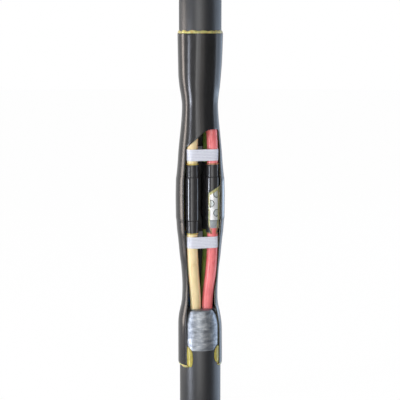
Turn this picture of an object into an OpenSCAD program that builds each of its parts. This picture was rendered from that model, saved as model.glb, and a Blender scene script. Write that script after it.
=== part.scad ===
// Straight heat-shrink joint between two four-core low-voltage cables, cut open to show its inside.
// Origin: centre of the lower cable's cut end. +Z runs up along the cable. The window faces -Y.

/* [Cable] */
// Diameter of the cable over its sheath
cable_d = 41.5; // [40:0.5:44]
// Thickness of the sheath
sheath_t = 2.6; // [1.8:0.1:3.4]
// Narrowing of the sheath's end, squeezed by the shrunken jacket
sheath_squeeze = 0.25; // [0.1:0.05:0.4]
// Distance outside the jacket's end where the sheath starts to narrow
squeeze_lead = 2; // [1.8:0.1:6]
// Diameter of one insulated core
core_d = 11; // [10:0.1:11.6]
// Thickness of a core's insulation
insulation_t = 1.9; // [1.2:0.1:2.5]
// Gap between neighbouring cores inside the cable
core_gap = 0.2; // [0.1:0.1:1]
// Length of bare cable below the jacket
lower_stub_len = 46; // [20:1:100]
// Length of bare cable above the jacket
upper_stub_len = 47; // [20:1:100]

/* [Core bundle] */
// Distance of each connector from the joint's axis
bundle_r = 14.5; // [13:0.1:16]
// Turn of the bundle about the axis, so that one core stands left and one right in the window
bundle_turn = 12; // [0:1:30]
// Length of the straight middle run of the cores
straight_len = 80; // [74:1:100]
// Length over which a core bends from the cable out to its connector
bend_len = 87; // [75:1:110]
// Length of straight core between the inner covering and the bend
crotch_gap = 3.2; // [1:0.1:8]
// Length of inner covering that stands out of the sheath
covering_show = 8; // [4:0.5:12]

/* [Connector] */
// Outside diameter of the connector
connector_d = 12.6; // [12:0.1:13.4]
// Length of the connector
connector_len = 43; // [40:1:48]
// Radial clearance of the conductor in the connector's bore
bore_clear = 0.3; // [0.1:0.1:0.6]
// Thickness of the stop between the two bores
stop_t = 3; // [1:0.5:5]
// Gap between a conductor's end and the stop
end_gap = 0.5; // [0.1:0.1:2]
// Length of bare conductor between the insulation and the connector
strip_gap = 2.5; // [1:0.5:5]
// Diameter of a shear bolt
bolt_d = 6.8; // [4:0.1:7.2]
// Distance between neighbouring bolts along the connector
bolt_pitch = 9.4; // [8:0.1:9.8]
// Angle between the two rows of bolts
bolt_spread = 61; // [50:1:90]
// Turn of the bolt rows from the outward direction
bolt_turn = -44.5; // [-90:0.5:90]
// Depth of a bolt's sheared face below the connector's surface
bolt_sink = 0.5; // [0.2:0.1:1]
// Diameter of the stump where a bolt's head sheared off
stump_d = 2.4; // [1:0.1:3.5]
// Height of that stump
stump_h = 0.3; // [0.1:0.1:0.6]

/* [Sleeves] */
// Length of the sleeve over a connector
sleeve_len = 68; // [64:1:72]
// Wall of the sleeve
sleeve_wall = 0.7; // [0.5:0.1:1.2]
// Thickness of the sleeve's adhesive lining
lining_t = 0.2; // [0.1:0.1:0.4]
// Length of the mastic cone beyond each connector end
mastic_len = 8; // [5:0.5:10]
// Height of the step from the connector down to the mastic
mastic_step = 0.25; // [0.1:0.05:0.4]
// Length of the adhesive bead at a sleeve's mouth
mouth_bead = 1.4; // [0.5:0.1:2.5]
// Height of that bead above the core
mouth_bead_t = 0.7; // [0.4:0.1:1.2]

/* [Opened sleeve] */
// Side cut of the opened sleeve, left of its axis
sleeve_cut_left = 4.3; // [2:0.1:5]
// Side cut of the opened sleeve: distance in front of its axis plane
sleeve_cut_side = 0.6; // [0:0.1:2]
// Height of the slanted cut at its left end, from the connector's middle
sleeve_cut_low = 5.9; // [2:0.1:12]
// Slope of the slanted cut
sleeve_cut_slope = 32; // [10:1:45]
// Height where the opening starts to close in, below the connector's middle
sleeve_cut_turn = 26.6; // [22:0.1:30]
// Height where only a gap is left of it
sleeve_cut_close = 33; // [31:0.1:33.5]
// Left side of that gap, from the connector's axis
gap_left = -0.5; // [-1:0.1:1]
// Right side of that gap
gap_right = 3.8; // [2.5:0.1:4.5]
// Width of lining left showing above the cut and right of it
lining_show = 2.6; // [1:0.1:4]
// Width of lining left showing at the left of the cut
lining_show_left = 1.4; // [0.3:0.1:2]
// Height where the lining starts again below the mastic
film_top = 29.9; // [29.6:0.1:32]

/* [Binding tape] */
// Width of the tape
band_w = 11.4; // [8:0.1:14]
// Thickness of the tape's turns
band_t = 0.35; // [0.2:0.05:0.8]
// Gap between the sleeve's mouth and the tape
band_gap = 3.9; // [2.5:0.1:6]

/* [End wraps] */
// Thickness of the wrap on the sheath
wrap_t = 0.3; // [0.2:0.05:0.6]
// Length of the wrap on the sheath
wrap_on_sheath = 17; // [10:0.5:19]
// Rise of the lower wrap above the sheath's end
lower_wrap_rise = 26; // [22:1:32]
// Rise of the upper wrap past the sheath's end
upper_wrap_rise = 32; // [22:1:34]
// Radius of the wrap's flat mouth, where the cores come out
wrap_mouth_r = 15.2; // [14.6:0.1:16.4]
// Radius of the rounded edge round that mouth
wrap_round = 2.8; // [0.5:0.1:3.2]

/* [Jacket] */
// Wall of the jacket
jacket_wall = 1.2; // [0.8:0.1:2.5]
// Slip between the jacket and what it was shrunk on
jacket_slip = 0.05; // [0.05:0.05:0.3]
// Overlap of the jacket on the lower sheath
lower_overlap = 31; // [24:1:50]
// Overlap of the jacket on the upper sheath
upper_overlap = 23.5; // [22:0.5:50]
// Room round the sleeves at the jacket's middle
mid_room = 1.8; // [0.5:0.1:3]
// Fall of the jacket from its middle to the connectors' ends
ledge_fall = 0.35; // [0.1:0.05:0.6]
// Length of the ledge there
ledge_len = 1.8; // [1:0.1:3]
// Room round the sleeves beyond that ledge
step_room = 1.1; // [0.4:0.1:1.4]
// Room round the binding tape
band_room = 0.1; // [0.1:0.1:1]
// Room round the cores where they draw in
bend_room = 0.1; // [0.1:0.1:1]
// Room round the cores at the jacket's waist
waist_room = 1.1; // [0.3:0.1:3]
// Rise of the jacket's shoulder over the wrap
shoulder_rise = 1.7; // [0.5:0.1:2]
// Length of that shoulder
shoulder_len = 9.5; // [6:0.5:12]

/* [Window] */
// Left edge of the window, degrees from the front
window_left = 42; // [20:1:60]
// Right edge of the window, degrees from the front
window_right = 60.5; // [30:0.5:80]
// Height of the slanted top edge over the connectors' middle, at the window's left edge
window_low = 50.3; // [45:0.1:60]
// Distance of that place from the joint's axis, to the left
window_low_x = 14.4; // [8:0.1:18]
// Height of the level top edge over the connectors' middle
window_high = 68.8; // [62:0.1:80]
// Slope of the slanted top edge
window_slope = 40.6; // [20:0.1:60]
// Radius that rounds the slanted edge into the level one
window_round = 12; // [2:0.5:15]

/* [Jacket adhesive] */
// Size of the bead pressed out at each jacket end
bead_r = 1.4; // [0.5:0.1:1.5]
// Left end of the bare front below the wrap, degrees from the front
bare_left = 21; // [10:1:38]
// Right end of the bare front below the wrap, degrees from the front
bare_right = 42; // [10:1:56]
// Height of the adhesive left at the window's two edges
patch_h = 21; // [10:1:25]
// Thickness of that adhesive on the wrap
patch_t = 0.4; // [0.2:0.05:0.8]

/* [Hidden] */
$fn = 96;
steps_between_marks = 4;
// Slit left between a core's straight lengths and arcs
joint_slit = 0.1;
// Height over the core of the ball that fills that slit
joint_hair = 0.003;

core_names = ["yellow", "red", "green", "blue"];
core_colors = ["#e8d29c", "#e27a7c", "#5e7440", "#3f6ba8"];
core_turns = [for (corner = [0:3]) bundle_turn - 45 + 90 * corner];
opened = 1;

cable_r = cable_d / 2;
covering_r = cable_r - sheath_t;
core_r = core_d / 2;
conductor_r = core_r - insulation_t;
connector_r = connector_d / 2;
bolt_r = bolt_d / 2;

// Cores lie in a square inside the cable
cable_ring_r = (core_d + core_gap) / sqrt(2);
// A bend is two equal arcs, first outwards and then back to the axis direction
bend_shift = bundle_r - cable_ring_r;
bend_angle = 2 * atan(bend_shift / bend_len);
bend_r = bend_len / (2 * sin(bend_angle));

// Distances below the connectors' middle, the same in both halves of the joint
connector_half = connector_len / 2;
insulation_end = connector_half + strip_gap;
conductor_end = stop_t / 2 + end_gap;
sleeve_half = sleeve_len / 2;
band_near = sleeve_half + band_gap;
band_far = band_near + band_w;
straight_half = straight_len / 2;
bend_mid = straight_half + bend_len / 2;
bend_far = straight_half + bend_len;
covering_end = bend_far + crotch_gap;
sheath_end = covering_end + covering_show;
wrap_foot = sheath_end + wrap_on_sheath;

// Distances that differ between the lower half (0) and the upper half (1)
wrap_rises = [lower_wrap_rise, upper_wrap_rise];
jacket_ends = [sheath_end + lower_overlap, sheath_end + upper_overlap];
cable_cuts = [jacket_ends[0] + lower_stub_len, jacket_ends[1] + upper_stub_len];
half_names = ["lower", "upper"];
middle_z = cable_cuts[0];

// Radii of the layers over a connector and over a core
lined_connector_r = connector_r + lining_t;
sleeve_r = lined_connector_r + sleeve_wall;
band_r = core_r + band_t;
jacket_end_r = cable_r + wrap_t + jacket_slip;

// Radius of the ball that fills a slit in a rod
function joint_ball_r(radius) = sqrt(pow(radius, 2) + pow(joint_slit, 2)) + joint_hair;

// Radius of the core ring at a distance below the connectors' middle
function ring_r(t) =
    t <= straight_half ? bundle_r
    : t <= bend_mid ? bundle_r - bend_r + sqrt(pow(bend_r, 2) - pow(t - straight_half, 2))
    : t <= bend_far ? cable_ring_r + bend_r - sqrt(pow(bend_r, 2) - pow(bend_far - t, 2))
    : cable_ring_r;

// Outermost reach of the bent cores there
function core_reach(t) = ring_r(t) + core_r / cos(bend_angle);

// Marks [distance, radius] that the inside of the jacket passes through, for one half
quarter_bend = straight_half + 0.3 * bend_len;
near_mid_bend = straight_half + 0.44 * bend_len;
waist = straight_half + 0.6 * bend_len;
function jacket_marks(half) =
    let (wrap_top = sheath_end - wrap_rises[half],
         mouth_edge_r = wrap_mouth_r + wrap_round + jacket_slip)
    [[0, bundle_r + sleeve_r + mid_room],
     [connector_half - ledge_len / 2, bundle_r + sleeve_r + mid_room - ledge_fall],
     [connector_half + ledge_len / 2, bundle_r + sleeve_r + step_room],
     [sleeve_half, bundle_r + sleeve_r + jacket_slip],
     [band_far, bundle_r + band_r + band_room],
     [quarter_bend, core_reach(quarter_bend) + bend_room],
     [near_mid_bend, core_reach(near_mid_bend) + bend_room],
     [waist, core_reach(waist) + waist_room],
     [wrap_top, mouth_edge_r],
     [wrap_top + shoulder_len, mouth_edge_r + shoulder_rise],
     [sheath_end - 2, jacket_end_r],
     [jacket_ends[half], jacket_end_r]];

// Smooth curve through marks, without overshoot
function rise(marks, i) = (marks[i + 1][1] - marks[i][1]) / (marks[i + 1][0] - marks[i][0]);
function slope_at(marks, i) =
    i == 0 || i == len(marks) - 1 ? 0
    : let (before = rise(marks, i - 1), after = rise(marks, i))
      before * after <= 0 ? 0 : 2 * before * after / (before + after);
function between(marks, i, u) =
    let (width = marks[i + 1][0] - marks[i][0])
    marks[i][1] * (2 * pow(u, 3) - 3 * pow(u, 2) + 1)
    + slope_at(marks, i) * width * (pow(u, 3) - 2 * pow(u, 2) + u)
    + marks[i + 1][1] * (3 * pow(u, 2) - 2 * pow(u, 3))
    + slope_at(marks, i + 1) * width * (pow(u, 3) - pow(u, 2));
function mark_before(marks, t) = max([for (i = [0:len(marks) - 2]) if (marks[i][0] <= t) i]);
function radius_at(marks, t) =
    let (i = mark_before(marks, t)) between(marks, i, (t - marks[i][0]) / (marks[i + 1][0] - marks[i][0]));

// Distances at which a curve through marks is drawn, from the first mark to the last
function drawn_at(marks) = [
    for (i = [0:len(marks) - 2], k = [0:steps_between_marks - 1])
        marks[i][0] + (marks[i + 1][0] - marks[i][0]) * k / steps_between_marks,
    marks[len(marks) - 1][0]
];

// Radius of what lies under a sleeve's lining: connector, mastic cone, core
cone_far = connector_half + mastic_len;
cone_near = connector_half + 0.6;
under_sleeve = [
    [connector_half, connector_r],
    [cone_near, connector_r - mastic_step],
    [cone_far, core_r],
    [sleeve_half, core_r]
];

// Puts what is drawn below the connectors' middle in the lower half, or mirrors it into the upper half
module in_half(half) {
    translate([0, 0, middle_z]) mirror([0, 0, half]) children();
}

// Turns what is drawn with X outwards to one core's side of the bundle
module toward_core(core) {
    rotate([0, 0, core_turns[core] - 90]) children();
}

// Puts what is drawn round the Z axis on one connector's axis
module on_connector(core) {
    translate([0, 0, middle_z]) toward_core(core) translate([bundle_r, 0, 0]) children();
}

// Round tube or rod between two heights
module tube(outer_r, inner_r, from_z, to_z) {
    translate([0, 0, from_z]) linear_extrude(to_z - from_z) difference() {
        circle(outer_r);
        if (inner_r > 0) circle(inner_r);
    }
}

// Arc of rod in the XZ plane, from the X axis upwards by an angle, short of both ends by the joint's slit
module rod_arc(radius, angle) {
    slit_angle = joint_slit / bend_r * 180 / PI;
    rotate([90, 0, 0]) rotate_extrude(angle = angle - 2 * slit_angle, start = slit_angle)
        translate([bend_r, 0]) circle(radius);
}

// One core's way from the cable's cut end to a distance below the middle, drawn with X outwards.
// A straight length, two arcs and a straight length stop just short of each other.
// A ball a hair larger than the rod fills each joint.
module core_way(radius, cut, near) {
    mid_bend_r = (cable_ring_r + bundle_r) / 2;
    translate([cable_ring_r, 0, 0]) tube(radius, 0, -cut, -bend_far - joint_slit);
    translate([cable_ring_r + bend_r, 0, -bend_far]) mirror([1, 0, 0]) rod_arc(radius, bend_angle);
    translate([bundle_r - bend_r, 0, -straight_half]) mirror([0, 0, 1]) rod_arc(radius, bend_angle);
    translate([bundle_r, 0, 0]) tube(radius, 0, -straight_half + joint_slit, -near);
    for (joint = [[cable_ring_r, bend_far], [mid_bend_r, bend_mid], [bundle_r, straight_half]])
        translate([joint[0], 0, -joint[1]]) sphere(joint_ball_r(radius));
}

// Wedge between two angles from the front, as high as asked
module front_wedge(left, right, radius, from_z, to_z) {
    far = radius / cos((left + right) / 2);
    translate([0, 0, from_z]) linear_extrude(to_z - from_z) polygon([
        [0, 0],
        [-far * sin(left), -far * cos(left)],
        [far * sin((right - left) / 2), -far * cos((right - left) / 2)],
        [far * sin(right), -far * cos(right)]
    ]);
}

// Turned body drawn from [distance below the middle, radius] pairs and an inner radius
module turned(outline) {
    rotate_extrude() polygon([for (p = outline) [p[1], p[0]]]);
}

// The sheath as a full body with room round it: even where it is bare, and narrowing under the jacket
module sheath_body(half, room) {
    turned([
        [-cable_cuts[half], 0],
        [-cable_cuts[half], cable_r + room],
        [-jacket_ends[half] - squeeze_lead, cable_r + room],
        [-sheath_end, cable_r + room - sheath_squeeze],
        [-sheath_end, 0]
    ]);
}

module cable_sheath(half) {
    color("#4a4b4e") in_half(half) difference() {
        sheath_body(half, 0);
        tube(covering_r, 0, -cable_cuts[half] - 1, -sheath_end + 1);
    }
}

module inner_covering(half) {
    color("#2c2c2e") in_half(half) difference() {
        tube(covering_r, 0, -cable_cuts[half], -covering_end);
        for (core = [0:3])
            toward_core(core) translate([cable_ring_r, 0, 0])
                tube(core_r, 0, -cable_cuts[half] - 1, -covering_end + 1);
    }
}

module insulated_core(half, core) {
    color(core_colors[core]) in_half(half) toward_core(core) difference() {
        core_way(core_r, cable_cuts[half], insulation_end);
        core_way(conductor_r, cable_cuts[half] + 1, insulation_end - 1);
    }
}

module conductor(half, core) {
    color("#b9bcc0") in_half(half) toward_core(core)
        core_way(conductor_r, cable_cuts[half], conductor_end);
}

// Places of the four bolts, in two rows that each hold every other bolt
module at_bolts() {
    for (i = [0:3])
        translate([0, 0, (i - 1.5) * bolt_pitch])
            rotate([0, 0, bolt_turn + (i % 2 == 0 ? 0.5 : -0.5) * bolt_spread])
                rotate([0, 90, 0]) children();
}

module connector(core) {
    color("#dfe1e6") on_connector(core) difference() {
        tube(connector_r, 0, -connector_half, connector_half);
        for (side = [0, 1])
            mirror([0, 0, side]) tube(conductor_r + bore_clear, 0, -connector_half - 1, -stop_t / 2);
        at_bolts() cylinder(r = bolt_r, h = connector_r + 1);
    }
}

module shear_bolts(core) {
    face = connector_r - bolt_sink;
    color("#c2c8c8") on_connector(core) intersection() {
        at_bolts() {
            translate([0, 0, conductor_r]) cylinder(r = bolt_r, h = face - conductor_r);
            translate([0, 0, face]) cylinder(r1 = stump_d / 2, r2 = stump_d / 2 - stump_h, h = stump_h);
        }
        tube(connector_r, 0, -connector_half, connector_half);
    }
}

module mastic(half, core) {
    color("#8f9591") in_half(half) toward_core(core) translate([bundle_r, 0, 0]) turned([
        [-connector_half, conductor_r],
        [-connector_half, connector_r],
        [-cone_near, connector_r - mastic_step],
        [-cone_far, core_r],
        [-insulation_end, core_r],
        [-insulation_end, conductor_r]
    ]);
}

// Outline along a sleeve at a height over what it covers, from its lower mouth to its upper one
function over_connector(height) = concat(
    [for (i = [3:-1:0]) [-under_sleeve[i][0], under_sleeve[i][1] + height]],
    [for (i = [0:3]) [under_sleeve[i][0], under_sleeve[i][1] + height]]
);
function backwards(list) = [for (i = [len(list) - 1:-1:0]) list[i]];

// Right side and foot of what opens the sleeve and its lining, clear of both
opening_right = connector_r + lining_t + 2;
opening_foot = sleeve_half + mouth_bead + 1;

// Puts an outline seen from the front in its place before the opened connector
module before_connector(side) {
    translate([0, -side, 0]) rotate([90, 0, 0]) linear_extrude(connector_r + 4) children();
}

// Solid that opens the sleeve of one core: slanted above, and closing in to a gap at the foot
module sleeve_opening() {
    high = sleeve_cut_low + (opening_right + sleeve_cut_left) * tan(sleeve_cut_slope);
    before_connector(sleeve_cut_side) polygon([
        [-sleeve_cut_left, sleeve_cut_low],
        [opening_right, high],
        [opening_right, -sleeve_cut_turn],
        [gap_right, -sleeve_cut_close],
        [gap_right, -opening_foot],
        [gap_left, -opening_foot],
        [gap_left, -sleeve_cut_close],
        [-sleeve_cut_left, -sleeve_cut_turn]
    ]);
}

// Solid that opens its lining, which shows all round the connector and beside the gap
module lining_opening() {
    left = -sleeve_cut_left + lining_show_left;
    low = sleeve_cut_low - lining_show / cos(sleeve_cut_slope);
    before_connector(sleeve_cut_side + lining_show) polygon([
        [left, low + lining_show_left * tan(sleeve_cut_slope)],
        [opening_right, low + (opening_right + sleeve_cut_left) * tan(sleeve_cut_slope)],
        [opening_right, -film_top],
        [gap_right, -film_top],
        [gap_right, -opening_foot],
        [gap_left, -opening_foot],
        [gap_left, -film_top],
        [left, -film_top]
    ]);
}

module sleeve(core) {
    color("#2b2b2d") difference() {
        on_connector(core) turned(concat(
            over_connector(lining_t + sleeve_wall),
            backwards(over_connector(lining_t))
        ));
        if (core == opened) translate(connector_place(core)) sleeve_opening();
    }
}

function connector_place(core) =
    [bundle_r * sin(core_turns[core]), -bundle_r * cos(core_turns[core]), middle_z];

module sleeve_lining(core) {
    bead_far = sleeve_half + mouth_bead;
    bead_top = core_r + mouth_bead_t;
    color("#9c9a4e") difference() {
        on_connector(core) turned(concat(
            [[-bead_far, core_r], [-bead_far + mouth_bead_t / 2, bead_top - mouth_bead_t / 4]],
            [[-sleeve_half, bead_top]],
            over_connector(lining_t),
            [[sleeve_half, bead_top]],
            [[bead_far - mouth_bead_t / 2, bead_top - mouth_bead_t / 4], [bead_far, core_r]],
            backwards(over_connector(0))
        ));
        if (core == opened) translate(connector_place(core)) lining_opening();
    }
}

// Outline of four touching rounds at the bundle's corners, filled like a tight band
module band_outline(radius) {
    corner = bundle_r / sqrt(2);
    rotate(bundle_turn) {
        square([2 * corner, 2 * (corner + radius)], center = true);
        square([2 * (corner + radius), 2 * corner], center = true);
        for (x = [-corner, corner], y = [-corner, corner])
            translate([x, y]) circle(radius);
    }
}

module binding_tape(half) {
    color("#d6dae2") in_half(half) translate([0, 0, -band_far]) linear_extrude(band_w) difference() {
        band_outline(band_r);
        band_outline(joint_ball_r(core_r));
    }
}

module end_wrap(half) {
    marks = jacket_marks(half);
    wrap_top = sheath_end - wrap_rises[half];
    skin = [for (t = drawn_at(marks)) if (t > wrap_top + wrap_round && t < wrap_foot)
        [-t, radius_at(marks, t) - jacket_slip]];
    edge_r = radius_at(marks, wrap_top + wrap_round) - jacket_slip - wrap_round;
    rounded = [for (a = [0:22.5:90])
        [-wrap_top - wrap_round + wrap_round * cos(a), edge_r + wrap_round * sin(a)]];
    color("#9a9da3") in_half(half) difference() {
        turned(concat(
            [[-wrap_foot, 0], [-wrap_top, 0]],
            rounded,
            skin,
            [[-wrap_foot, jacket_end_r - jacket_slip]]
        ));
        sheath_body(half, 0);
        tube(covering_r, 0, -wrap_foot - 1, -covering_end);
        for (core = [0:3])
            toward_core(core) core_way(core_r, wrap_foot + 1, insulation_end);
    }
}

// The window in the jacket: a wedge, cut off above by a slanted edge that rounds into a level one
module window() {
    reach = jacket_end_r + bundle_r;
    low = middle_z + window_low;
    high = middle_z + window_high;
    corner_x = -window_low_x + (window_high - window_low) / tan(window_slope);
    tangent = window_round * tan(window_slope / 2);
    bottom = middle_z - jacket_ends[0] - 1;
    intersection() {
        front_wedge(window_left, window_right, reach, bottom, high + 1);
        rotate([90, 0, 0]) linear_extrude(reach) {
            polygon([
                [corner_x - reach, high - reach * tan(window_slope)],
                [corner_x - tangent * cos(window_slope), high - tangent * sin(window_slope)],
                [corner_x + tangent, high],
                [reach, high],
                [reach, bottom - reach],
                [corner_x - reach, bottom - reach]
            ]);
            translate([corner_x + tangent, high - window_round]) circle(window_round);
        }
    }
}

module outer_jacket() {
    inside = concat(
        [for (t = backwards(drawn_at(jacket_marks(0)))) if (t > 0) [-t, radius_at(jacket_marks(0), t)]],
        [for (t = drawn_at(jacket_marks(1))) [t, radius_at(jacket_marks(1), t)]]
    );
    outside = [for (p = inside) [p[0], p[1] + jacket_wall]];
    color("#262628") difference() {
        translate([0, 0, middle_z]) turned(concat(inside, backwards(outside)));
        window();
    }
}

// Bead pressed out beyond the jacket's end, and the film between jacket and sheath
module adhesive_ring(half) {
    end = jacket_ends[half];
    rotate_extrude() {
        translate([cable_r, -end]) intersection() {
            circle(bead_r);
            translate([-sheath_squeeze, -bead_r]) square([bead_r + sheath_squeeze, bead_r]);
        }
        translate([cable_r - sheath_squeeze, -end])
            square([jacket_end_r - cable_r + sheath_squeeze, end - wrap_foot]);
    }
}

// Outline of the adhesive left at one edge of the window, rounded off towards the bare front
module patch_outline(edge, width) {
    round_r = 1.5 * width;
    depth = patch_h + round_r;
    translate([edge, patch_h - round_r]) circle(round_r);
    translate([edge - round_r, patch_h - round_r - depth]) square([2 * round_r, depth]);
}

// Adhesive left over the film and the wrap's foot at both edges of the window
module adhesive_patches() {
    inner_r = jacket_end_r - jacket_slip;
    left_edge = -inner_r * sin(window_left);
    right_edge = inner_r * sin(window_right);
    end = jacket_ends[0];
    intersection() {
        tube(inner_r + patch_t, inner_r, -end - bead_r / 4, -end + patch_h + 1);
        front_wedge(window_left, window_right, cable_d, -end - bead_r, -end + patch_h + 2);
        translate([0, 0, -end]) rotate([90, 0, 0]) linear_extrude(cable_d) {
            patch_outline(left_edge, -inner_r * sin(bare_left) - left_edge);
            patch_outline(right_edge, right_edge - inner_r * sin(bare_right));
        }
    }
}

module jacket_adhesive(half) {
    end = jacket_ends[half];
    color("#cdc75c") in_half(half) difference() {
        union() {
            adhesive_ring(half);
            if (half == 0) adhesive_patches();
        }
        if (half == 0) front_wedge(bare_left, bare_right, cable_d, -end - bead_r - 1, -end + patch_h + 1);
        sheath_body(half, jacket_slip);
    }
}

outer_jacket();
for (half = [0, 1]) {
    name = half_names[half];
    jacket_adhesive(half);
    cable_sheath(half);
    inner_covering(half);
    end_wrap(half);
    binding_tape(half);
    for (core = [0:3]) {
        insulated_core(half, core);
        conductor(half, core);
        mastic(half, core);
    }
}
for (core = [0:3]) {
    connector(core);
    shear_bolts(core);
    sleeve(core);
    sleeve_lining(core);
}
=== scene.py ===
import math

import bmesh
import bpy
from mathutils import Matrix, Vector, noise


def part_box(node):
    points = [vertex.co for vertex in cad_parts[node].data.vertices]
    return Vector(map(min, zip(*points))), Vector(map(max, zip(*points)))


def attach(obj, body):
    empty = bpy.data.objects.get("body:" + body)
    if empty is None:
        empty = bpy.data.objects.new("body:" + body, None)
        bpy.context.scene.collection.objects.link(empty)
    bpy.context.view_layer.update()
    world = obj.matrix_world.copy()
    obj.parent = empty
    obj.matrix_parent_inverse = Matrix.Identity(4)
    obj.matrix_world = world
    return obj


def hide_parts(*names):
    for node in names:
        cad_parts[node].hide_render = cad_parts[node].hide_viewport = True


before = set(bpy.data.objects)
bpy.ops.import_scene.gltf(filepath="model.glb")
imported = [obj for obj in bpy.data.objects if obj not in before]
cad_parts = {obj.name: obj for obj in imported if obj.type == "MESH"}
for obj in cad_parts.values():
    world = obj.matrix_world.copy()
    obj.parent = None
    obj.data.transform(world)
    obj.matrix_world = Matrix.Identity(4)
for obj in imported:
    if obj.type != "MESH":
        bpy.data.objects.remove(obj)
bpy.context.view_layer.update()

mm = 0.001
halves = {"lower": -1, "upper": 1}
cores = {"yellow": -33, "red": 57, "green": 147, "blue": 237}  # Angles from the front, in degrees
openedCore = "red"


# Camera: a long lens a little above the joint, as the sample was photographed
camera = {
    "aim": (0, 0, 0.212),
    "distance": 1.11,
    "elevation": 8.8,
    "lens": 99.9,
    "sensor": 36,
    "shiftX": -0.0005,
    "clipEnd": 20,
}


def makeCamera():
    data = bpy.data.cameras.new("camera")
    data.lens = camera["lens"]
    data.sensor_width = camera["sensor"]
    data.shift_x = camera["shiftX"]
    data.clip_end = camera["clipEnd"]
    cam = bpy.data.objects.new("camera", data)
    bpy.context.collection.objects.link(cam)
    up = math.radians(camera["elevation"])
    away = Vector((0, -math.cos(up), math.sin(up))) * camera["distance"]
    cam.location = Vector(camera["aim"]) + away
    cam.rotation_euler = (math.radians(90) - up, 0, 0)
    bpy.context.scene.camera = cam


makeCamera()


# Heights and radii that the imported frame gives
def low(node):
    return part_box(node)[0]


def high(node):
    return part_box(node)[1]


def boxRadius(node):
    return (high(node)[0] - low(node)[0]) / 2


def farAndNear(node, sign):
    # Heights of a node's ends, first the one away from the joint's middle
    ends = (low(node)[2], high(node)[2])
    return ends if sign < 0 else ends[::-1]


middleZ = (low("connector_yellow")[2] + high("connector_yellow")[2]) / 2
connectorRadius = boxRadius("connector_yellow")
connectorHalf = (high("connector_yellow")[2] - low("connector_yellow")[2]) / 2
sleeveHalf = (high("sleeve_yellow")[2] - low("sleeve_yellow")[2]) / 2
cableRadius = boxRadius("lower_cable_sheath")
bundleRadius = math.hypot(*[(low("connector_red")[i] + high("connector_red")[i]) / 2 for i in (0, 1)])

# Sizes of the cores that the boxes don't give
coreShape = {
    "radius": 5.5 * mm,
    "conductorRadius": 3.6 * mm,
    "ringRadius": 11.2 / math.sqrt(2) * mm,
    "straightHalf": 40 * mm,
    "bendLength": 87 * mm,
    "bendSteps": 24,
    "insulationEnd": connectorHalf + 2.5 * mm,
    "conductorEnd": 2 * mm,
    "recess": 1.5 * mm,
    "wireRings": (1, 6, 12),
    "wireFill": 0.98,
    "ringStep": 1.93,
    "rodFill": 0.97,
    "rodBehind": 0.8,
    "edge": 0.12 * mm,
}


# Small helpers for meshes
def meshObject(name, bm, materials=()):
    mesh = bpy.data.meshes.new(name)
    bm.to_mesh(mesh)
    bm.free()
    for material in materials:
        mesh.materials.append(material)
    made = bpy.data.objects.new(name, mesh)
    bpy.context.collection.objects.link(made)
    return made


def finishMesh(name, bm, materials, node, smoothAngle=35):
    piece = meshObject(name, bm, materials)
    piece.data.shade_smooth()
    piece.data.set_sharp_from_angle(angle=math.radians(smoothAngle))
    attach(piece, "root")
    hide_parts(node)


def spunOutline(outline, steps, centre=(0, 0), closed=True, startAngle=0):
    # Outline of (radius, z) spun round a vertical axis; points with no radius meet in a pole
    bm = bmesh.new()
    verts = [bm.verts.new((centre[0] + r, centre[1], z)) for r, z in outline]
    pairs = list(zip(verts, verts[1:])) + ([(verts[-1], verts[0])] if closed else [])
    edges = [bm.edges.new(pair) for pair in pairs if pair[0] is not pair[1]]
    centreVector = Vector((centre[0], centre[1], 0))
    bmesh.ops.rotate(bm, cent=centreVector, matrix=Matrix.Rotation(startAngle, 3, "Z"), verts=verts)
    bmesh.ops.spin(
        bm, geom=verts + edges, cent=centreVector, axis=(0, 0, 1), dvec=(0, 0, 0),
        angle=2 * math.pi, steps=steps, use_merge=True, use_duplicate=False,
    )
    bmesh.ops.remove_doubles(bm, verts=bm.verts, dist=1e-6)
    loose = [e for e in bm.edges if not e.link_faces]
    bmesh.ops.delete(bm, geom=loose, context="EDGES")
    bmesh.ops.recalc_face_normals(bm, faces=bm.faces)
    return bm


def quarterRound(radius, z, width, height, degrees):
    # Points of an outline on a quarter of an ellipse
    turns = [math.radians(d) for d in degrees]
    return [(radius + width * math.cos(a), z + height * math.sin(a)) for a in turns]


def softenedEdges(bm, angle, width, segments=2):
    edges = [
        e for e in bm.edges
        if len(e.link_faces) == 2 and e.calc_face_angle(0) > math.radians(angle)
    ]
    bmesh.ops.bevel(
        bm, geom=edges, offset=width, offset_type="OFFSET", segments=segments,
        profile=0.5, affect="EDGES", material=-1, clamp_overlap=True,
    )


def vertsOf(ret):
    return [g for g in ret["geom"] if isinstance(g, bmesh.types.BMVert)]


def extrudeRing(bm, ring):
    # A ring of edges extruded on the spot; returns the new verts and the new ring
    ret = bmesh.ops.extrude_edge_only(bm, edges=ring)
    verts = vertsOf(ret)
    chosen = set(verts)
    edges = [g for g in ret["geom"] if isinstance(g, bmesh.types.BMEdge)]
    return verts, [e for e in edges if all(v in chosen for v in e.verts)]


def turnOf(place):
    return math.atan2(place.x, -place.y)


def onCircle(radius, turn, z=0):
    return Vector((radius * math.sin(turn), -radius * math.cos(turn), z))


def outwardOf(place):
    return Vector((place.x, place.y, 0)).normalized()


def coreDirection(core):
    return onCircle(1, math.radians(cores[core]))


def connectorCentre(core):
    return coreDirection(core) * bundleRadius


def smoothStep(x):
    x = min(max(x, 0), 1)
    return x * x * (3 - 2 * x)


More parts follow.
